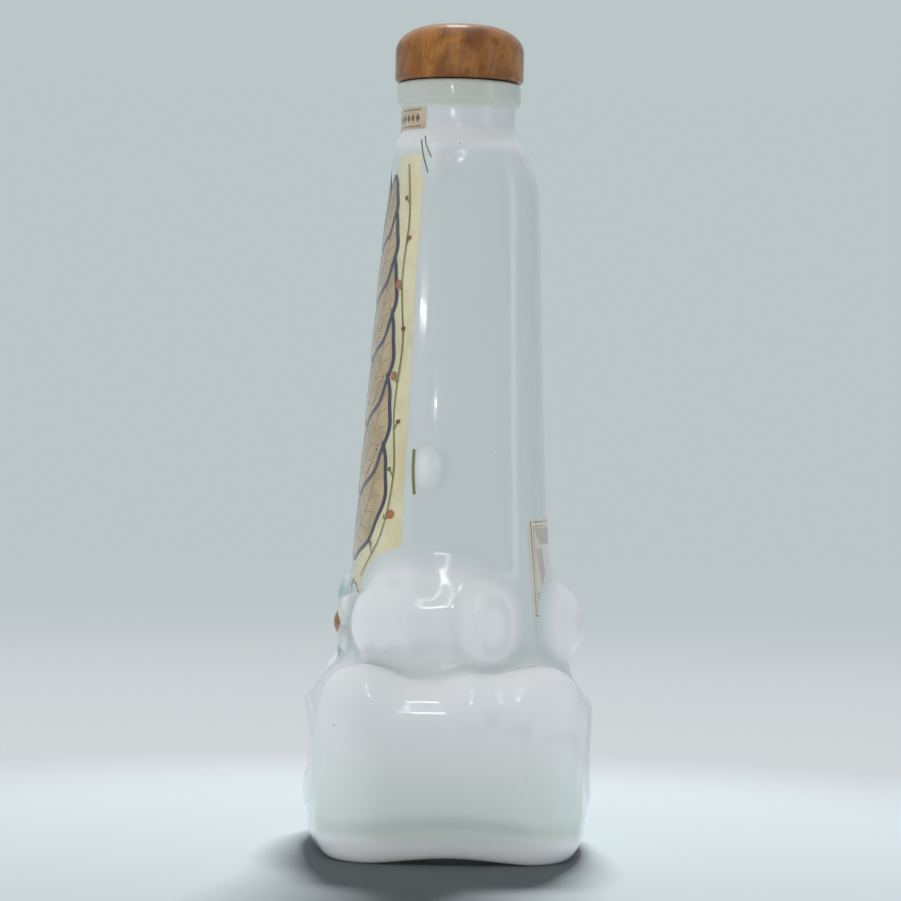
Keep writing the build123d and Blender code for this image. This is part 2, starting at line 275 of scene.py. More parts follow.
def bottleSurface(x, y, z):  # negative inside the porcelain
    f, b = bottleForm, baseForm
    out = np.abs(x)
    shape = bodyForm(out, y, z)
    if touches(z, -5, 75):
        section = baseSection(out, y)
        block = roundCut(section, z - b["height"], b["topRound"])
        under = (archAt(y) - z) * b["footRound"] / b["footRise"]
        block = roundCut(block, under, b["footRound"])
        crease = (z - b["creaseHeight"] - archAt(y)) / b["creaseWidth"]
        block = block + b["creaseDepth"] * np.exp(-crease**2)
        shape = roundJoin(shape, block, b["bodyFillet"])
        for side, halfWidth in ovals:
            r = ovalRim
            wide, tall = halfWidth - r["width"] / 2, r["halfHeight"] - r["width"] / 2
            oval = eggForm(out, np.zeros_like(out), z - r["height"], (0, 0, 0), (wide, 1e3, tall))
            rim = np.hypot(oval, section * (r["width"] / 2) / r["proud"]) - r["width"] / 2
            rim = np.maximum(rim * r["slope"], r["start"] - side * y)
            shape = roundJoin(shape, rim, r["melt"])
    if touches(z, 50, 105):
        g = gourd
        across = np.hypot(out - g["centre"][0], z - g["centre"][2])
        along = y - g["centre"][1]
        roll = across - g["radius"] + g["crown"] * along**2
        bolster = roundCut(roll, np.abs(along) - g["halfLength"], g["endRound"])
        shape = roundJoin(shape, bolster, g["melt"])
    for centre, radii, melt in fruits:
        if touches(z, centre[2] - radii[2] - melt - 2, centre[2] + radii[2] + melt + 2):
            shape = roundJoin(shape, eggForm(out, y, z, centre, radii), melt)
    for number, gap, depth in grooves:
        centre, radii, _ = fruits[number]
        if touches(z, centre[2] - radii[2] - 5, centre[2] + radii[2] + 5):
            ring = (eggForm(out, y, z, centre, radii) - gap) / grooveWidth
            shape = shape + depth * np.exp(-ring**2)
    if touches(z, 50, 100):
        r = rosette
        up = z - r["height"]
        radii = (r["petalHalf"], r["petalRadius"], r["petalRadius"])
        for turn in np.arange(r["petals"]) * math.tau / r["petals"]:
            along, across = x * np.sin(turn) + up * np.cos(turn), x * np.cos(turn) - up * np.sin(turn)
            petal = eggForm(along, y, across, (r["petalOut"], -r["forward"], 0), radii)
            shape = roundJoin(shape, petal, r["melt"])
        heart = np.sqrt(x**2 + (y + r["heartForward"]) ** 2 + up**2) - r["heartRadius"]
        shape = roundJoin(shape, heart, r["melt"])
    if touches(z, 225, 270):
        radial = np.hypot(out, y)
        neck = np.maximum(radial - f["neckRadius"], np.maximum(z - f["lipLow"] - 2, f["neckFoot"] - z))
        shape = roundJoin(shape, neck, f["neckRootRound"])
        lip = roundCut(radial - f["lipRadius"], z - f["lipTop"], f["lipTopRound"])
        lip = roundCut(lip, f["lipLow"] - z, f["lipFootRound"])
        shape = roundJoin(shape, lip, f["lipMelt"])
        bore = np.maximum(radial - f["boreRadius"], f["boreFoot"] - z)
        shape = roundCut(shape, -bore, f["mouthRound"])
    if touches(z, -5, 10):
        inner = baseSection(out, y, -b["footRound"] - b["ring"])
        recess = np.maximum(inner, z - b["recess"])
        shape = roundCut(shape, -recess, b["recessRound"])
    return shape


def reachOf(within, shape, start, end, rounds=22):  # how far a form reaches, found by halving
    near, far = np.full(shape, float(start)), np.full(shape, float(end))
    for _ in range(rounds):
        half = (near + far) / 2
        inside = within(half)
        near, far = np.where(inside, half, near), np.where(inside, far, half)
    return near


def surfaceSlope(form, points, step=0.05):
    slopes = []
    for axis in range(3):
        ahead, behind = points.copy(), points.copy()
        ahead[:, axis] += step
        behind[:, axis] -= step
        slopes.append((form(*ahead.T) - form(*behind.T)) / (2 * step))
    return np.stack(slopes, axis=1)


def wrapForm(form, low, high, size):  # squares laid over a form's surface, then drawn tight onto it
    axes = [np.arange(a, b + size, size) for a, b in zip(low, high)]
    values = np.empty([len(axis) for axis in axes], np.float32)
    for first in range(0, len(axes[2]), 10):
        x, y, z = np.meshgrid(axes[0], axes[1], axes[2][first:first + 10], indexing="ij")
        values[:, :, first:first + 10] = form(x, y, z)
    inside = values < 0
    corners = np.array([(i, j, k) for i in (0, 1) for j in (0, 1) for k in (0, 1)])
    nx, ny, nz = [n - 1 for n in values.shape]
    count = np.zeros((nx, ny, nz), np.int8)
    for i, j, k in corners:
        count += inside[i:i + nx, j:j + ny, k:k + nz]
    crossed = (count > 0) & (count < 8)
    cells = np.argwhere(crossed)
    numbers = np.full(crossed.shape, -1, np.int32)
    numbers[crossed] = np.arange(len(cells))
    total, hits = np.zeros((len(cells), 3)), np.zeros((len(cells), 1))
    for a in corners:
        for axis in range(3):
            if a[axis]:
                continue
            step = np.eye(3, dtype=int)[axis]
            va, vb = [values[tuple((cells + corner).T)] for corner in (a, a + step)]
            cut = (va < 0) != (vb < 0)
            share = np.where(cut, va / np.where(cut, va - vb, 1), 0)
            total += (cells + a + share[:, None] * step) * cut[:, None]
            hits += cut[:, None]
    points = np.array(low) + total / hits * size
    faces = []
    for axis in range(3):
        u, v = (axis + 1) % 3, (axis + 2) % 3
        edges = np.argwhere(np.diff(inside, axis=axis))
        for side in (u, v):
            edges = edges[(edges[:, side] > 0) & (edges[:, side] < values.shape[side] - 1)]
        around = []
        for shift in ((-1, -1), (0, -1), (0, 0), (-1, 0)):
            cell = edges.copy()
            cell[:, [u, v]] += shift
            around.append(numbers[tuple(cell.T)])
        quads = np.stack(around, axis=1)
        outward = inside[tuple(edges.T)]
        quads[~outward] = quads[~outward][:, ::-1]
        faces.append(quads)
    faces = np.concatenate(faces)
    for _ in range(3):
        slope = surfaceSlope(form, points)
        length = np.maximum((slope**2).sum(1), 0.05)
        points -= (form(*points.T) / length)[:, None] * slope * 0.9
    return points, faces


print("bottle: wrapping its form")
bottlePoints, bottleFaces = wrapForm(bottleSurface, *bottleForm["box"], bottleForm["cell"])
print("bottle:", len(bottlePoints), "points,", len(bottleFaces), "faces")
bottlePoints[:, 2] = np.maximum(bottlePoints[:, 2], 0)


# porcelain, printed colours, paper, wood and cork

glaze = {
    # the paler tone is painted light on the relief, the foot's edge and the shoulder; the low tone and the
    # crease tone are painted shade
    "body": tone(207, 215, 217), "paintedLight": tone(232, 234, 237), "cloud": tone(214, 219, 220),
    "lowShade": tone(212, 224, 220), "crease": tone(190, 203, 197), "lip": tone(192, 197, 187),
    "speck": tone(120, 112, 98),
    # how much of each tone shows, and where it comes in, in metres
    "cloudShare": 0.30, "hollowShadeShare": 0.35, "lowShadeShare": 0.9, "creaseShadeShare": 0.4, "speckShare": 0.55,
    "lowShadeRise": (0.052, 0.012), "creaseReach": 0.0055,
    "bands": [
        ("paintedLight", 1.0, (0.0105, 0.0055)),                     # painted light on the edge of the foot
        ("paintedLight", 0.9, (0.234, 0.240), (0.250, 0.244)),       # painted highlight on the shoulder's rounded edge
        # the neck turns partly back to the body's tone, out of the painted light; the lip has a tone of its
        # own
        ("body", 0.6, (0.243, 0.247)), ("lip", 0.8, (0.2505, 0.2525)),
    ],
    "ripple": 0.08, "rippleSize": 38, "rippleHeight": 0.0011, "fineSize": 420, "fineShare": 0.06,
    "roughness": (0.05, 0.13),
    "sockets": {
        "IOR": 1.52, "Coat Weight": 0.6, "Coat Roughness": 0.03,
        "Subsurface Weight": 0.12, "Subsurface Radius": (0.004, 0.004, 0.004), "Subsurface Scale": 0.5,
    },
}


def creaseBand(m, parts):  # 1 in the crease round the foot, which lifts with the arch: where its painted shade falls
    b = baseForm
    half = b["archHalfLength"] * mm
    ends = {"From Min": -half, "From Max": half, "To Min": -math.pi, "To Max": math.pi}
    swing = m.add("MapRange", Value=parts.outputs["Y"], **ends).outputs["Result"]
    arch = m.times(m.math("COSINE", swing), b["archRise"] / 2 * mm)
    level = (b["creaseHeight"] + b["archRise"] / 2) * mm
    off = m.math("SUBTRACT", m.math("SUBTRACT", parts.outputs["Z"], arch), level)
    return m.ramp(m.math("ABSOLUTE", off), glaze["creaseReach"], 0.0)


def porcelainMaterial():
    m = Finish("GlazedPorcelain")
    g = glaze
    parts = m.add("SeparateXYZ", Vector=m.place)
    height = parts.outputs["Z"]
    proud = m.add("Attribute", {"attribute_name": "proud"}).outputs["Fac"]
    hollow = m.add("Attribute", {"attribute_name": "hollow"}).outputs["Fac"]
    # painted light: the relief that stands off the tall body gets a paler tone, as if lit from above
    colour = m.tint(g["body"], proud, g["paintedLight"])
    clouds = m.ramp(m.noise(m.place, 14), 0.40, 0.70)
    colour = m.tint(colour, clouds, g["cloud"], g["cloudShare"])
    # painted shade in the hollows between the forms
    colour = m.tint(colour, hollow, g["crease"], g["hollowShadeShare"])
    # painted shade: darker and greener towards the foot
    colour = m.tint(colour, m.ramp(height, *g["lowShadeRise"]), g["lowShade"], g["lowShadeShare"])
    # painted shade in the crease round the foot
    colour = m.tint(colour, creaseBand(m, parts), g["crease"], g["creaseShadeShare"])
    for shade, strength, rise, *fall in g["bands"]:
        band = m.ramp(height, *rise)
        if fall:
            band = m.times(band, m.ramp(height, *fall[0]))
        colour = m.tint(colour, band, g[shade], strength)
    rare = m.ramp(m.noise(m.place, 60, 1), 0.62, 0.66)
    specks = m.times(m.spots(m.place, 110.0, 0.055, 0.03), rare)      # a few pin-sized iron specks
    colour = m.tint(colour, specks, g["speck"], g["speckShare"])
    ends = {"To Min": g["roughness"][0], "To Max": g["roughness"][1]}
    rough = m.add("MapRange", Value=m.noise(m.place, 25, 4, 0.6), **ends)
    m.link(rough.outputs["Result"], "Roughness")
    fine = m.times(m.noise(m.place, g["fineSize"], 2), g["fineShare"])
    relief = m.plus(m.noise(m.place, g["rippleSize"], 2, 0.4), fine)
    return m.done(paintRosette(m, colour), g["sockets"], relief, g["ripple"], g["rippleHeight"])


rosettePaint = {
    "heart": tone(150, 92, 40), "heartDark": tone(98, 62, 34), "teal": tone(148, 184, 180),
    "petal": tone(205, 205, 196), "dot": tone(84, 96, 98), "petalShare": 0.85, "darkShare": 0.7,
    # radius, softness and wobble of each spot of paint
    "petalSpot": (4.2, 1.3, 2.5), "heartSpot": (5.6, 0.5, 1.4), "darkSpot": (2.4, 1.2, 2.0),
    "dotSpot": (1.5, 0.6, 1.0), "petalBeyond": 1.5, "petalAhead": 3.6, "dotAhead": 3.4,
    "dots": [(7.0, -15.2), (-6.0, -15.8), (0.6, -17.2)],      # across and up from the heart
}


def spotMask(m, centre, radius, edge, wobble):  # 1 inside a soft spot of paint
    centre = tuple(c * mm for c in centre)
    point = m.add("VectorMath", {"operation": "DISTANCE"}, n0=m.place, n1=centre)
    stir = m.times(m.math("SUBTRACT", m.noise(m.place, 260, 2), 0.5), wobble * mm)
    reach = m.plus(point.outputs["Value"], stir)
    return m.ramp(reach, (radius + edge) * mm, (radius - edge) * mm)


def paintRosette(m, colour):
    r, p = rosette, rosettePaint
    out = r["petalOut"] + p["petalBeyond"]
    for number in range(r["petals"]):
        turn = math.tau / r["petals"] * number
        centre = (out * math.sin(turn), -r["forward"] - p["petalAhead"], r["height"] + out * math.cos(turn))
        mask = spotMask(m, centre, *p["petalSpot"])
        colour = m.tint(colour, mask, p["teal"] if number % 3 == 0 else p["petal"], p["petalShare"])
    heart = (0, -r["heartForward"] - r["heartRadius"] + 1, r["height"])
    colour = m.tint(colour, spotMask(m, heart, *p["heartSpot"]), p["heart"])
    colour = m.tint(colour, spotMask(m, heart, *p["darkSpot"]), p["heartDark"], p["darkShare"])
    for across, up in p["dots"]:
        centre = (across, -r["forward"] - p["dotAhead"], r["height"] + up)
        colour = m.tint(colour, spotMask(m, centre, *p["dotSpot"]), p["dot"])
    return colour


clay = {"pale": tone(196, 192, 180), "stain": tone(158, 150, 134), "grain": tone(120, 112, 100)}


def bareClayMaterial():  # the unglazed ring that the bottle stands on
    m = Finish("BareClay")
    grain = m.noise(m.place, 900, 4, 0.7)
    stain = m.ramp(m.noise(m.place, 60, 3, 0.6), 0.45, 0.7)
    colour = m.tint(clay["pale"], stain, clay["stain"])
    colour = m.tint(colour, grain, clay["grain"], 0.25)
    return m.done(colour, {"Roughness": 0.85}, grain, 0.5, 0.0002)


prints = {
    "screenSize": 1500.0, "screenShare": 0.10, "gloss": 0.16, "parchmentGloss": 0.18,
    "fibre": tone(170, 158, 112), "fleck": tone(122, 88, 48),
}


def glazeOver(m, colour, roughness):  # the clear glaze over a printed colour
    sockets = {"Roughness": roughness, "Coat Weight": 0.6, "Coat Roughness": 0.07}
    return m.done(colour, sockets, m.noise(m.place, 40, 2), glaze["ripple"], 0.0008)


def printMaterial(name, colour, shade, scale, mottle):  # a ceramic colour fired under the glaze
    m = Finish(name)
    cloud = m.ramp(m.noise(m.place, scale, 4, 0.6), 0.35, 0.7)
    blend = m.tint(colour, cloud, shade, mottle)
    screen = m.spots(m.place, prints["screenSize"], 0.45, 0.25)      # the screen's fine dots
    return glazeOver(m, m.tint(blend, screen, shade, prints["screenShare"]), prints["gloss"])


def parchmentMaterial(name, pale, deep):
    m = Finish(name)
    colour = m.tint(pale, m.ramp(m.noise(m.place, 45, 5, 0.65), 0.35, 0.68), deep)
    fibres = m.noise(m.stretch(m.place, (260, 260, 1100), (0, 0.35, 0)), 1.0, 3, 0.6)
    colour = m.tint(colour, m.ramp(fibres, 0.6, 0.8), prints["fibre"], 0.25)
    flecks = m.spots(m.stretch(m.place, (150, 150, 95)), 1.0, 0.13, 0.07)
    some = m.ramp(m.noise(m.place, 75, 1), 0.5, 0.56)
    colour = m.tint(colour, m.times(flecks, some), prints["fleck"], 0.8)
    return glazeOver(m, colour, prints["parchmentGloss"])


paper = {"pale": tone(208, 198, 178), "stain": tone(188, 170, 140), "fibre": tone(150, 130, 100)}


def paperMaterial():
    m = Finish("LabelPaper")
    fibre = m.noise(m.stretch(m.place, (900, 900, 2600)), 1.0, 4, 0.7)
    stain = m.ramp(m.noise(m.place, 130, 4, 0.6), 0.4, 0.7)
    colour = m.tint(paper["pale"], stain, paper["stain"])
    colour = m.tint(colour, fibre, paper["fibre"], 0.22)
    return m.done(colour, {"Roughness": 0.55}, fibre, 0.4, 0.00012)


wood = {
    "light": tone(178, 120, 58), "mid": tone(136, 82, 32), "dark": tone(66, 36, 14),
    "mottle": tone(104, 60, 24), "pore": tone(66, 38, 20), "mottleShare": 0.75, "poreShare": 0.5,
    "lean": (9, 6, 24),                   # degrees by which the grain leans from the cap's axes
    "rings": 420, "sway": 11.0,           # growth rings in a metre, and how far they wander
    "darkest": 0.75, "palest": 0.12,      # strength of the rings inside and outside the patches
    "sockets": {"Roughness": 0.30, "Specular IOR Level": 0.25, "Coat Weight": 0.26, "Coat Roughness": 0.08},
}


def capWoodMaterial():
    m = Finish("LacqueredWood")
    turned = m.stretch(m.place, (1, 1, 1), [math.radians(angle) for angle in wood["lean"]])
    sway = m.noise(m.stretch(turned, (34, 34, 9)), 1.0, 3, 0.55)
    depth = m.add("SeparateXYZ", Vector=turned).outputs["Y"]
    ring = m.plus(m.times(depth, wood["rings"]), m.times(sway, wood["sway"]))
    bands = m.math("FRACT", ring)
    growth = m.times(m.ramp(bands, 0.0, 0.75), m.ramp(bands, 1.0, 0.86))
    figure = m.noise(m.stretch(turned, (120, 120, 40)), 1.0, 5, 0.62, 0.6)
    colour = m.tint(wood["light"], m.ramp(figure, 0.32, 0.7), wood["mid"])
    patches = m.noise(m.stretch(turned, (70, 70, 16)), 1.0, 2)
    band = m.times(m.ramp(depth, 0.001, 0.006), m.ramp(depth, 0.015, 0.010))
    marked = m.math("MAXIMUM", m.ramp(patches, 0.46, 0.62), band)
    strong = m.plus(m.times(marked, wood["darkest"]), wood["palest"])
    colour = m.tint(colour, m.times(growth, strong), wood["dark"])
    pores = m.noise(m.stretch(turned, (1500, 1500, 150)), 1.0, 3, 0.6)
    pore = m.ramp(pores, 0.62, 0.74)
    colour = m.tint(colour, pore, wood["pore"], wood["poreShare"])
    blotch = m.noise(m.place, 95, 4, 0.62)
    colour = m.tint(colour, m.ramp(blotch, 0.40, 0.62), wood["mottle"], wood["mottleShare"])
    relief = m.plus(m.times(pore, -0.4), m.times(blotch, 0.4))
    return m.done(colour, wood["sockets"], relief, 0.18, 0.0003)


bark = {
    "pale": tone(196, 150, 102), "deep": tone(160, 112, 70), "seam": tone(104, 70, 42),
    "pit": tone(66, 42, 26), "grainSize": 520.0,
}


def corkMaterial():
    m = Finish("CorkBark")
    grains, edges = [m.add("TexVoronoi", {"feature": kind}, Vector=m.place, Scale=bark["grainSize"])
                     for kind in ("F1", "DISTANCE_TO_EDGE")]
    chance = m.add("SeparateColor", Color=grains.outputs["Color"]).outputs["Red"]
    colour = m.tint(bark["pale"], chance, bark["deep"])
    seams = m.ramp(edges.outputs["Distance"], 0.09, 0.02)
    colour = m.tint(colour, seams, bark["seam"], 0.45)
    pits = m.noise(m.stretch(m.place, (260, 260, 900)), 1.0, 3, 0.6)
    pit = m.ramp(pits, 0.66, 0.72)
    relief = m.plus(m.times(pit, -1.0), m.times(seams, -0.3))
    return m.done(m.tint(colour, pit, bark["pit"]), {"Roughness": 0.8}, relief, 0.5, 0.0004)


porcelain = porcelainMaterial()
bareClay = bareClayMaterial()
parchment = parchmentMaterial("ParchmentPrint", tone(224, 217, 184), tone(206, 196, 154))
plaqueGround = parchmentMaterial("PlaqueGround", tone(222, 218, 206), tone(208, 202, 184))
inkTones = {      # colour, its shade, how fine the mottling is, how strong it is
    "Tan": ((190, 168, 128), (158, 132, 92), 120, 0.7), "Navy": ((38, 42, 74), (24, 26, 48), 200, 0.5),
    "Olive": ((128, 124, 74), (88, 84, 48), 200, 0.6), "Orange": ((176, 112, 58), (132, 74, 36), 240, 0.6),
    "Brown": ((124, 88, 54), (86, 58, 36), 240, 0.6), "Vein": ((160, 136, 98), (138, 112, 76), 200, 0.6),
}
inks = [printMaterial(name + "Print", tone(*colour), tone(*shade), fineness, mottle)
        for name, (colour, shade, fineness, mottle) in inkTones.items()]
hatchPrint = printMaterial("HatchPrint", tone(158, 132, 108), tone(132, 104, 80), 200, 0.6)
labelPaper = paperMaterial()


# the porcelain bottle: its wrapped outside, and the lining of the space inside

lining = {
    "wall": 5.0, "around": 72, "widest": 64, "floor": 8.0, "floorRound": 6.0,
    "levels": [
        236.6, 233, 230, 226, 218, 200, 176, 150, 124, 104, 88, 72, 64, 60, 56.4, 55.4, 52, 44, 34,
        22, 14, 9.5, 8,
    ],
    "funnelFoot": 229, "funnelSlope": 1.6, "throatFoot": 233.5,
    "lidRadius": 12.2, "lidLevels": (234, 238),      # the wrapped form's lid across the throat
}
# how far off the tall body the painted light on the relief starts and over how far it grows, and how hollow
# is fully hollow for the painted shade
figures = {"reach": 3.0, "proudStart": 0.3, "proudOver": 3.6, "hollowFull": 0.14}
footRing = {"facing": -0.93, "above": 0.25}      # how far downward bare clay faces, how near the foot it is


def liningRing(level):  # how far the space inside reaches at a level, all round
    turns = np.linspace(0, math.tau, lining["around"], endpoint=False)
    z = np.full_like(turns, float(level))
    wall, height = lining["wall"], baseForm["height"]

    def within(reach):
        x, y = reach * np.cos(turns), reach * np.sin(turns)
        throat = np.hypot(x, y) - bottleForm["boreRadius"]
        if level > lining["throatFoot"]:
            return throat < 0
        room = bodyForm(np.abs(x), y, z) + wall
        if level < height - wall + 0.5:
            tier = baseSection(np.abs(x), y) + wall
            tier = roundCut(tier, z - height + wall, baseForm["topRound"] - wall)
            room = np.minimum(room, roundCut(tier, lining["floor"] - z, lining["floorRound"]))
        if level > lining["funnelFoot"]:
            narrowing = max(0, bottleForm["boreFoot"] - level) * lining["funnelSlope"]
            room = np.maximum(room, throat - narrowing)
        return room < 0

    reach = reachOf(within, turns.shape, 0, lining["widest"])
    return np.stack([reach * np.cos(turns), reach * np.sin(turns), z], axis=1)


# the masks for the painted light on the relief and the painted shade in its hollows
def lightAndShadeFigures(points):  # how far each point stands off the tall body, and how hollow it lies
    x, y, z = points.T
    proud = (bodyForm(np.abs(x), y, z) - figures["proudStart"]) / figures["proudOver"]
    bend = -6 * bottleSurface(x, y, z)
    for axis in range(3):
        for way in (-figures["reach"], figures["reach"]):
            moved = points.copy()
            moved[:, axis] += way
            bend += bottleSurface(*moved.T)
    hollow = -bend / figures["reach"] ** 2 / figures["hollowFull"]
    return np.clip(proud, 0, 1), np.clip(hollow, 0, 1)


def buildBottle():
    middles = bottlePoints[bottleFaces].mean(axis=1)
    low, high = lining["lidLevels"]
    lid = np.hypot(middles[:, 0], middles[:, 1]) < lining["lidRadius"]
    lid &= (middles[:, 2] > low) & (middles[:, 2] < high)      # it comes off, and leaves the throat open
    faces, middles = bottleFaces[~lid], middles[~lid]
    rings = np.concatenate([liningRing(level) for level in lining["levels"]])
    points = np.concatenate([bottlePoints, rings, [[0, 0, lining["floor"]]]])
    start, around, count = len(bottlePoints), lining["around"], len(lining["levels"])
    inner = gridFaces(count, around, start, closed=True)
    last = start + (count - 1) * around
    inner += [(last + (i + 1) % around, last + i, start + count * around) for i in range(around)]
    piece = makePiece("PorcelainBottle", points, list(faces) + inner, [porcelain, bareClay])
    mesh = piece.data
    slopes = surfaceSlope(bottleSurface, bottlePoints)
    slopes /= np.maximum(np.linalg.norm(slopes, axis=1, keepdims=True), 1e-9)
    normals = np.zeros((len(points), 3))
    normals[:start] = slopes
    mesh.normals_split_custom_set_from_vertices(normals.tolist())
    for name, values in zip(("proud", "hollow"), lightAndShadeFigures(bottlePoints)):
        layer = mesh.attributes.new(name, "FLOAT", "POINT")
        layer.data.foreach_set("value", np.concatenate([values, np.zeros(len(points) - start)]))
    flat = np.zeros(len(mesh.polygons) * 3)
    mesh.polygons.foreach_get("normal", flat)
    downward = flat.reshape(-1, 3)[:len(faces), 2] < footRing["facing"]
    slots = np.zeros(len(mesh.polygons), int)
    slots[:len(faces)] = downward & (middles[:, 2] < archAt(middles[:, 1]) + footRing["above"])
    mesh.polygons.foreach_set("material_index", slots.tolist())
    mesh.update()
    return piece


bottle = buildBottle()
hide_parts("bottle")
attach(bottle, "bottle")
print("bottle: built")


# fired transfers: sheets and strokes laid on the bottle's faces

class Layer:  # collects the points and faces of one printed piece, side -1 for the front and 1 for the back
    def __init__(self, side=-1):
        self.side = side
        self.points, self.faces, self.slots = [], [], []

    def sheet(self, x, y, z, slot, flip=False):  # a grid of points
        first = len(self.points)
        self.points += np.stack([x, y, z], axis=-1).reshape(-1, 3).tolist()
        for face in gridFaces(*x.shape, first):
            self.faces.append(face[::-1] if flip else face)
            self.slots.append(slot)

    def build(self, name, materials):
        piece = makePiece(name, self.points, self.faces, materials)
        piece.data.polygons.foreach_set("material_index", self.slots)
        piece.data.update()
        return piece


def laySheet(layer, x, z, lift, slot):  # on the tall body's face, through its y at each place
    x, z = np.broadcast_arrays(np.asarray(x, float), np.asarray(z, float))
    depth = reachOf(lambda reach: bodyForm(np.abs(x), layer.side * reach, z) < 0, x.shape, 0, 60, 24)
    layer.sheet(x, layer.side * (depth + lift), z, slot, flip=layer.side > 0)


def smoothLine(stops, count):  # a soft curve through a few stops
    stops = np.array(stops, float)
    share = np.linspace(0, len(stops) - 1, count)
    padded = np.concatenate([[2 * stops[0] - stops[1]], stops, [2 * stops[-1] - stops[-2]]])
    index = np.minimum(share.astype(int), len(stops) - 2)
    t = (share - index)[:, None]
    a, b, c, d = (padded[index + k] for k in range(4))
    return 0.5 * (2 * b + (c - a) * t + (2 * a - 5 * b + 4 * c - d) * t**2 + (3 * b - a - 3 * c + d) * t**3)


def sideways(line):
    ahead = np.gradient(line, axis=0)
    ahead /= np.maximum(np.linalg.norm(ahead, axis=1, keepdims=True), 1e-9)
    return np.stack([ahead[:, 1], -ahead[:, 0]], axis=1)


def beside(line, reach):  # points to both sides of a line
    across = sideways(line)
    return [line[:, k, None] + across[:, k, None] * reach for k in (0, 1)]


def strokeEdges(line, width, taper=0.0):
    share = np.linspace(-1, 1, len(line))[:, None]
    return beside(line, width / 2 * (1 - taper * share**2) * np.array([-1, 0, 1]))


def layStroke(layer, line, width, lift, slot, taper=0.0):
    laySheet(layer, *strokeEdges(line, width, taper), lift, slot)


def layBox(layer, corners, count, width, lift, slot):
    for a, b in zip(corners, corners[1:] + corners[:1]):
        layStroke(layer, np.linspace(a, b, count), width, lift, slot)


cream, tan, navy, olive, orange, brown, veins = range(7)      # material slots, the inks from 1
inkLift = {"line": 0.02, "rim": 0.03, "dot": 0.04}            # how far each kind of ink lies above
leafForm = {
    "along": 34, "across": 9, "lobeTurns": 3.5, "veinWidth": 0.7, "sideVeinWidth": 0.35,
    "sideVeins": range(6, 28, 4), "sideVeinRise": 3, "sideVeinReach": 0.7, "sideVeinSag": 0.4,
}


def layLeaf(layer, stops, halfWidth, lift, rimWidth, lobes=0.0):
    f = leafForm
    line = smoothLine(stops, f["along"])
    share = np.linspace(0, 1, f["along"])
    wave = 1 + lobes * np.sin(share * math.tau * f["lobeTurns"])
    widths = halfWidth * np.sin(np.pi * share**0.8) ** 0.7 * wave
    across = sideways(line)
    x, z = beside(line, widths[:, None] * np.linspace(-1, 1, f["across"]))
    laySheet(layer, x, z, lift, tan)
    outline = np.concatenate([np.stack([x[:, 0], z[:, 0]], 1), np.stack([x[::-1, -1], z[::-1, -1]], 1)])
    layStroke(layer, outline, rimWidth, lift + inkLift["rim"], navy)
    layStroke(layer, line[2:-3], f["veinWidth"], lift + inkLift["line"], veins, taper=0.6)
    for step in f["sideVeins"]:
        end = step + f["sideVeinRise"]
        for way in (-1, 1):
            tip = line[end] + across[end] * widths[end] * f["sideVeinReach"] * way
            vein = smoothLine([line[step], (line[step] + tip) / 2 + [0, f["sideVeinSag"]], tip], 6)
            layStroke(layer, vein, f["sideVeinWidth"], lift + inkLift["line"], veins)


def layBerry(layer, x, z, radius, lift, slot):
    turns = np.linspace(0, math.tau, 15)
    reach = radius * np.linspace(0, 1, 4)[:, None]
    laySheet(layer, x + reach * np.cos(turns), z + 1.15 * reach * np.sin(turns), lift, slot)


frontPanel = {
    "top": 234.0, "margin": 1.8, "foot": 97.5, "pointDrop": 11.0, "pointShare": 0.47, "notchDrop": 7.0,
    "notchShare": 0.28, "lift": 0.10, "leafLift": 0.14, "rimWidth": 1.7, "stemWidth": 0.42, "footWidth": 0.9,
    "columns": 61, "rows": 150,
    # height of a leaf pair's foot, length, lean from upright in degrees, half width
    "leafPairs": [
        (99, 44, 30, 9.6), (121, 44, 27, 9.2), (144, 42, 25, 8.6),
        (166, 38, 24, 8.0), (186, 33, 22, 7.0), (204, 25, 21, 5.8),
    ],
    "topLeaf": [(0, 210), (0.8, 221), (0, 231.5)], "topLeafHalf": 6.2, "pairLift": 0.04,
    "middleStem": [(0, 92), (1.6, 120), (-1.4, 160), (1.0, 200), (0, 218)], "middleStemWidth": 1.4,
    # height, and share of the panel's half width
    "sideStem": [
        (92, 0.5), (106, 0.80), (126, 0.92), (148, 0.88), (170, 0.93), (192, 0.87), (213, 0.90), (231, 0.80),
    ],
    "berries": (0, 1, 0, 0, 1, 0, 1, 0, 0),      # 1 for a large orange one, 0 for a small brown one
    "berrySizes": (0.7, 1.4), "firstStalk": 10, "stalkGap": 12, "stalkWidth": 0.5,
    "berryReach": 2.0, "berryRise": 2.4, "berryInset": 2.2,
}
# stops (y, height) of the dark lines that the panel's rolled edge shows beside the curls, and their widths
foldLines = [
    ([(-12.9, 239.4), (-12.3, 234), (-10.6, 227.6)], 0.45),
    ([(-11.6, 240.6), (-11.2, 237), (-9.6, 232.8)], 0.45),
    ([(-13.6, 135.2), (-13.8, 128), (-13.3, 120.2)], 1.0),
]
foldLift = 0.06


def layOnSide(layer, line, width, way):  # a stroke on the left or right face
    y, z = strokeEdges(line, width)
    reach = reachOf(lambda out: bottleSurface(out, y, z) < 0, y.shape, 10, 60)
    layer.sheet(way * (reach + foldLift), y, z, olive, flip=way < 0)


def panelHalf(z):
    return np.interp(z, outlineLevels, outlineColumns[0]) - frontPanel["margin"]


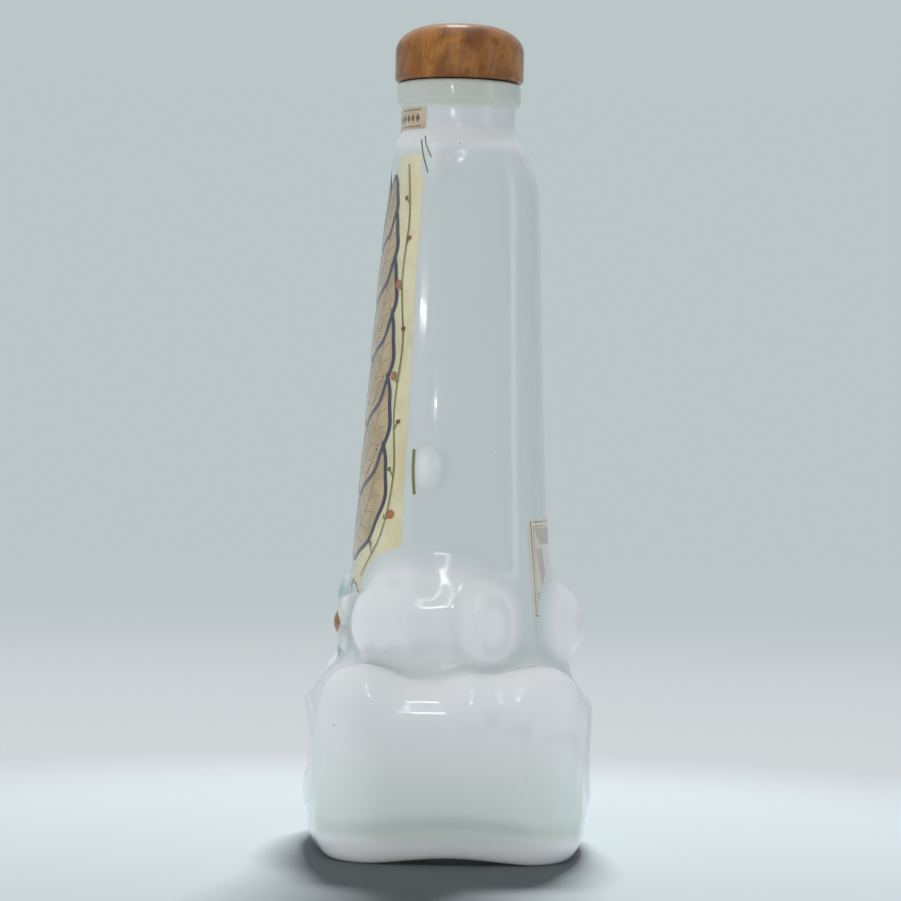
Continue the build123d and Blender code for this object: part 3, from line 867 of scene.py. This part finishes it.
def layStem(layer, way, lift):  # a thin stem with berries up one margin
    p = frontPanel
    stem = smoothLine([(way * panelHalf(level) * share, level) for level, share in p["sideStem"]], 120)
    layStroke(layer, stem, p["stemWidth"], lift + inkLift["line"], olive)
    across = sideways(stem)
    for number, large in enumerate(p["berries"]):
        step = p["firstStalk"] + p["stalkGap"] * number
        tip = stem[step] + across[step] * p["berryReach"] * (1 if number % 2 else -1) + [0, p["berryRise"]]
        inset = panelHalf(tip[1]) - p["berryInset"]
        tip[0] = np.clip(tip[0], -inset, inset)
        stalk = smoothLine([stem[step], (stem[step] + tip) / 2, tip], 6)
        layStroke(layer, stalk, p["stalkWidth"], lift + inkLift["line"], olive)
        layBerry(layer, *tip, p["berrySizes"][large], lift + inkLift["dot"], (brown, orange)[large])


def buildFrontPanel():
    p = frontPanel
    layer = Layer(-1)
    u = np.linspace(-1, 1, p["columns"])[None, :]
    drop = np.interp(np.abs(u), (0, p["notchShare"], p["pointShare"], 1),
                     (p["pointDrop"], p["notchDrop"], p["pointDrop"], 0))
    foot = p["foot"] - drop + 0.5 * np.sin(u * 37) + 0.35 * np.sin(u * 83 + 1)      # a ragged edge
    z = foot + (p["top"] - foot) * np.linspace(0, 1, p["rows"])[:, None]
    laySheet(layer, u * panelHalf(z), z, p["lift"], cream)
    footLine = np.stack([(u * panelHalf(foot))[0], foot[0] + 0.3], axis=1)
    layStroke(layer, footLine, p["footWidth"], p["lift"] + inkLift["rim"], brown)
    lift = p["leafLift"]
    for level, length, lean, half in p["leafPairs"]:
        out, up = length * math.sin(math.radians(lean)), length * math.cos(math.radians(lean))
        for way in (-1, 1):
            belly = (way * (5.2 + 0.62 * out), level + 0.45 * up)
            stops = [(way * 2.0, level), belly, (way * (3 + out), level + up)]
            layLeaf(layer, stops, half, lift, p["rimWidth"], 0.06)
        lift += p["pairLift"]
    layLeaf(layer, p["topLeaf"], p["topLeafHalf"], lift, p["rimWidth"] * 0.8)
    layStroke(layer, smoothLine(p["middleStem"], 80), p["middleStemWidth"], lift + inkLift["line"], olive)
    for way in (-1, 1):
        layStem(layer, way, lift)
    for line, width in foldLines:
        for way in (-1, 1):
            layOnSide(layer, smoothLine(line, 14), width, way)
    return layer.build("FrontPanelPrint", [parchment] + inks)


frontPrint = buildFrontPanel()
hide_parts("front_transfer")
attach(frontPrint, "bottle")
print("front panel: printed")

backPlaque = {
    "halfWidth": 34.5, "foot": 79.0, "top": 113.0, "lift": 0.10, "corner": 3.0, "columns": 60, "rows": 36,
    "borders": ((1.4, 0.55), (2.8, 0.3)),      # how far in, and how wide
    "hatchStep": 1.5, "hatchWidth": 0.42, "lozengeOut": 8.6, "lozenges": (3.6, 2.0), "lozengeWidth": 0.4,
}


def buildBackPlaque():
    b = backPlaque
    layer = Layer(1)
    w, low, high, corner = b["halfWidth"], b["foot"], b["top"], b["corner"]
    ink = b["lift"] + inkLift["rim"]
    z = low + (high - low) * np.linspace(0, 1, b["rows"])[:, None]
    end = np.minimum(z - low, high - z)
    inset = corner - np.sqrt(np.maximum(corner**2 - np.maximum(corner - end, 0) ** 2, 0))
    laySheet(layer, np.linspace(-1, 1, b["columns"])[None, :] * (w - inset), z, b["lift"], 0)
    for gap, width in b["borders"]:
        x, foot, top = w - gap, low + gap, high - gap
        layBox(layer, [(-x, foot), (x, foot), (x, top), (-x, top)], 30, width, ink, 1)
    for x in np.arange(-w + 3.2, w - 8.2, b["hatchStep"]):      # slanting hatch in two bands
        for foot in (low + 3.4, high - 9.0):
            layStroke(layer, np.linspace((x, foot), (x + 5, foot + 5.6), 6), b["hatchWidth"], ink, 1)
    for first, last in ((-w + 3.2, -20), (18, w - 9.5)):        # and a field of it at each end
        for x in np.arange(first, last, b["hatchStep"]):
            slant = np.linspace((x, low + 10.2), (x + 6.5, high - 10.2), 8)
            layStroke(layer, slant, b["hatchWidth"], ink, 1)
    middle = (low + high) / 2
    for x in (-b["lozengeOut"], 0, b["lozengeOut"]):            # a row of lozenges between them
        for reach in b["lozenges"]:
            rise = reach * 1.3
            corners = [(x - reach, middle), (x, middle + rise), (x + reach, middle), (x, middle - rise)]
            layBox(layer, corners, 5, b["lozengeWidth"], ink, 1)
        layBerry(layer, x, middle, 0.7, ink, 1)
    return layer.build("BackPlaquePrint", [plaqueGround, hatchPrint])


backPrint = buildBackPlaque()
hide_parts("back_transfer")
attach(backPrint, "bottle")

neckPaper = {
    "low": 243.4, "high": 251.0, "arc": 110.0, "thickness": 0.12, "borderGap": 1.0, "borderHalf": 0.16,
    "lozenges": 13, "lozengeRise": 1.5, "lozengeReach": 0.055, "lozengeMargin": 0.08,
}


def layRound(layer, turn, z, lift, slot):  # a patch round the neck, over turns in radians
    turn, z = np.broadcast_arrays(turn, z)
    x, y = np.cos(turn), np.sin(turn)
    radius = lift + reachOf(lambda reach: bottleSurface(reach * x, reach * y, z) < 0, turn.shape, 15, 30)
    layer.sheet(radius * x, radius * y, z, slot)


def buildNeckLabel():
    n = neckPaper
    layer = Layer()
    turns = np.radians(np.linspace(-90 - n["arc"] / 2, -90 + n["arc"] / 2, 50))
    layRound(layer, turns[None, :], np.linspace(n["low"], n["high"], 8)[:, None], n["thickness"], 0)
    inner, ink = turns[3:-3], n["thickness"] + inkLift["rim"]
    for level in (n["low"] + n["borderGap"], n["high"] - n["borderGap"]):
        band = np.array([level - n["borderHalf"], level + n["borderHalf"]])
        layRound(layer, inner[None, :], band[:, None], ink, 1)
    middle, margin = (n["low"] + n["high"]) / 2, n["lozengeMargin"]
    side = np.array([0, 0.5, 1, 0.5, 0]) * n["lozengeRise"]
    across = np.array([-1, -0.5, 0, 0.5, 1]) * n["lozengeReach"]
    for turn in np.linspace(inner[0] + margin, inner[-1] - margin, n["lozenges"]):
        layRound(layer, turn + across[None, :], np.stack([middle - side, middle + side]), ink, 1)
    return layer.build("NeckLabel", [labelPaper, inks[brown - 1]])


neckLabel = buildNeckLabel()
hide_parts("neck_label")
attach(neckLabel, "bottle")
print("plaque and label: laid")


# the stopper keeps its CAD shapes, in lacquered wood and cork

def refinish(node, material):
    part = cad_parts[node]
    part.data.materials.clear()
    part.data.materials.append(material)


refinish("stopper_cap", capWoodMaterial())
refinish("stopper_cork", corkMaterial())
print("stopper: finished")


# the studio: a pale bowl of floor and wall, soft lamps, the camera

studio = {
    "floorRings": (0.25, 0.6), "floorRadius": 1.2, "bendSteps": 14, "wallRadius": 3.2, "wallFoot": 2.3,
    "wallHeight": 3.4, "domeRise": 1.2, "domeFoot": 0.25, "around": 96, "roughness": 0.6,
    "floor": tone(132, 139, 142), "cloth": tone(40, 42, 44), "clothRise": (0.6, 1.2),
    # what the camera and the reflections see of it, a glow of painted light standing in for how it is lit: a
    # tone near the foot, and others beyond and above
    "backFloor": tone(208, 213, 216), "backLow": tone(187, 197, 199), "lowRise": (0.35, 1.6),
    "backMiddle": tone(186, 197, 199), "middleRise": (0.02, 0.45),
    "backTop": tone(195, 204, 207), "topRise": (0.5, 1.1), "seenRise": (0.15, 0.34),
}


def bowlMaterial():
    s = studio
    m = Finish("StudioBowl")
    height = m.add("SeparateXYZ", Vector=m.place).outputs["Z"]
    distance = m.add("VectorMath", {"operation": "LENGTH"}, n0=m.place).outputs["Value"]
    m.link(m.tint(s["floor"], m.ramp(distance, *s["clothRise"]), s["cloth"]), "Base Color")
    setSockets(m.shader, {"Roughness": s["roughness"]})
    # painted light: for camera and mirrored rays the far floor and wall glow in tones graded by distance and
    # height
    colour = m.tint(s["backFloor"], m.ramp(distance, *s["lowRise"]), s["backLow"])
    colour = m.tint(colour, m.ramp(height, *s["middleRise"]), s["backMiddle"])
    colour = m.tint(colour, m.ramp(height, *s["topRise"]), s["backTop"])
    glow = m.add("Emission", Color=colour, Strength=1.0)
    rays = m.add("LightPath").outputs
    mirrored = m.math("MAXIMUM", rays["Is Glossy Ray"], rays["Is Transmission Ray"])
    seen = m.math("MAXIMUM", rays["Is Camera Ray"], mirrored)
    share = m.times(seen, m.ramp(distance, *s["seenRise"]))
    blend = m.add("MixShader", Fac=share, n1=m.shader.outputs[0], n2=glow.outputs[0])
    m.tree.links.new(blend.outputs[0], m.tree.nodes["Material Output"].inputs["Surface"])
    return m.material


def buildBowl():
    s = studio
    floor, wall, height, around = s["floorRadius"], s["wallRadius"], s["wallHeight"], s["around"]
    profile = [(radius, 0.0) for radius in s["floorRings"]] + [(floor, 0.0)]
    for step in range(1, s["bendSteps"] + 1):
        turn = math.pi / 2 * step / s["bendSteps"]
        profile.append((floor + (wall - floor) * math.sin(turn), (wall - floor) * (1 - math.cos(turn))))
    profile += [(wall, level) for level in np.linspace(s["wallFoot"], height, 4)]
    for turn in np.linspace(s["domeFoot"], math.pi / 2, 7)[:-1]:
        profile.append((wall * math.cos(turn), height + s["domeRise"] * math.sin(turn)))
    points = [(r / mm * math.cos(math.tau * i / around), r / mm * math.sin(math.tau * i / around), z / mm)
              for r, z in profile for i in range(around)]
    faces = [face[::-1] for face in gridFaces(len(profile), around, closed=True)]
    last = (len(profile) - 1) * around
    faces += [tuple(range(around)), tuple(reversed(range(last, last + around)))]
    return makePiece("StudioBowl", points, faces, [bowlMaterial()])


bowl = buildBowl()


def linkedSet(name, state):  # which pieces a lamp lights: only the bowl, or all but the bowl
    group = bpy.data.collections.new(name)
    group.objects.link(bowl)
    group.collection_objects[0].light_linking.link_state = state
    return group


lit = {"bottle": linkedSet("AllButBowl", "EXCLUDE"), "floor": linkedSet("BowlOnly", "INCLUDE")}


def addLamp(name, place, aim, size, power):
    data = bpy.data.lights.new(name, "AREA")
    data.shape = "RECTANGLE"
    data.size, data.size_y = size
    data.energy = power
    lamp = addObject(name, data, place)
    lamp.rotation_euler = (Vector(aim) - Vector(place)).to_track_quat("-Z", "Y").to_euler()
    return lamp


lamps = {
    # place, aim, size, power
    "key": ((-0.95, 0.06, 1.2), (0, 0, 0.1), (0.7, 0.36), 7),
    "floorKey": ((-1.7, 0.2, 1.9), (0, 0, 0.0), (0.8, 0.4), 262),
    "top": ((-0.1, 0.0, 1.5), (0, 0, 0.1), (0.8, 0.8), 10),
    "nearFill": ((2.15, 0.1, 0.45), (0, 0, 0.12), (2.2, 0.8), 20),
    "nearLow": ((2.15, 0.1, 0.09), (0, 0, 0.06), (2.2, 0.16), 32),
    "farFill": ((-2.1, 0.1, 0.5), (0, 0, 0.12), (2.0, 0.9), 14),
    "frontFill": ((0.2, -2.1, 0.7), (0, 0, 0.12), (2.0, 0.9), 20),
    "backFill": ((0.2, 2.1, 0.7), (0, 0, 0.12), (2.0, 0.9), 9),
    "rearCard": ((-0.62, 0.0, 0.95), (0, 0, 0.1), (0.13, 0.25), 0.5),
    "frontCard": ((0.72, -0.62, 0.40), (0, 0, 0.17), (0.2, 0.012), 0.10),
    "backStrip": ((0.55, 0.85, 0.42), (0, 0, 0.17), (0.24, 0.6), 0.4),
    "floorBounce": ((1.0, 0.0, -0.55), (0, 0, 0.03), (1.4, 0.8), 2.4),      # light off the table
}
mirroredLamps = ("rearCard", "frontCard", "backStrip")      # the others don't show in reflections
for lampName, (place, aim, size, power) in lamps.items():
    lamp = addLamp("Lamp_" + lampName, place, aim, size, power)
    lamp.visible_glossy = lampName in mirroredLamps
    lamp.light_linking.receiver_collection = lit["floor" if lampName == "floorKey" else "bottle"]
    if place[2] < 0:      # the floor casts no shadow from a lamp below it
        lamp.light_linking.blocker_collection = lit["bottle"]

frameLamp = {
    "place": (0.83, -0.01, 0.81), "aim": (0, 0, 0.09), "halfWidth": 0.035, "halfHeight": 0.26,
    "post": 0.008, "rail": 0.075, "radiance": 6.5,
}


def buildFrameLamp():  # posts and rails in a rectangle, which the glaze mirrors as a small bright frame
    f = frameLamp
    middle = Vector(f["place"])
    ahead = Vector(f["aim"]) - middle
    turn = ahead.to_track_quat("-Z", "Y")
    across, up = turn @ Vector((1, 0, 0)) * f["halfWidth"], turn @ Vector((0, 1, 0)) * f["halfHeight"]
    post, rail = (f["post"], 2 * f["halfHeight"]), (2 * f["halfWidth"], f["rail"])
    bars = (("Left", -across, post), ("Right", across, post), ("Low", -up, rail), ("High", up, rail))
    for name, shift, (wide, tall) in bars:
        place = middle + shift
        power = math.pi * wide * tall * f["radiance"]
        lamp = addLamp("Frame_" + name, place, place + ahead, (wide, tall), power)
        lamp.light_linking.receiver_collection = lit["bottle"]


buildFrameLamp()

flash = {"place": (1.12, -0.26, 0.37), "power": 0.5, "radius": 0.005}
flashLight = bpy.data.lights.new("Lamp_flash", "POINT")
flashLight.energy = flash["power"]
flashLight.shadow_soft_size = flash["radius"]
addObject("Lamp_flash", flashLight, flash["place"])

air = {"Color": tone(210, 218, 224), "Strength": 0.2}
scene.world = bpy.data.worlds.new("StudioAir")
scene.world.use_nodes = True
setSockets(scene.world.node_tree.nodes["Background"], air)

photoView = {
    "distance": 1.10, "azimuth": 88.5, "height": 0.140, "aim": (0.0, -0.0006, 0.1348), "roll": 1.1,
    "lens": 128.2, "sensor": 36, "nearest": 0.02,
}


def placeCamera():
    v = photoView
    turn = math.radians(v["azimuth"])
    place = Vector((v["distance"] * math.sin(turn), -v["distance"] * math.cos(turn), v["height"]))
    data = bpy.data.cameras.new("PhotoCamera")
    data.lens = v["lens"]
    data.sensor_width = v["sensor"]
    data.clip_start = v["nearest"]
    camera = addObject("PhotoCamera", data, place)
    camera.rotation_mode = "QUATERNION"
    aim = (Vector(v["aim"]) - place).to_track_quat("-Z", "Y")
    camera.rotation_quaternion = aim @ Quaternion((0, 0, 1), math.radians(v["roll"]))
    scene.camera = camera


placeCamera()
print("studio: lit")
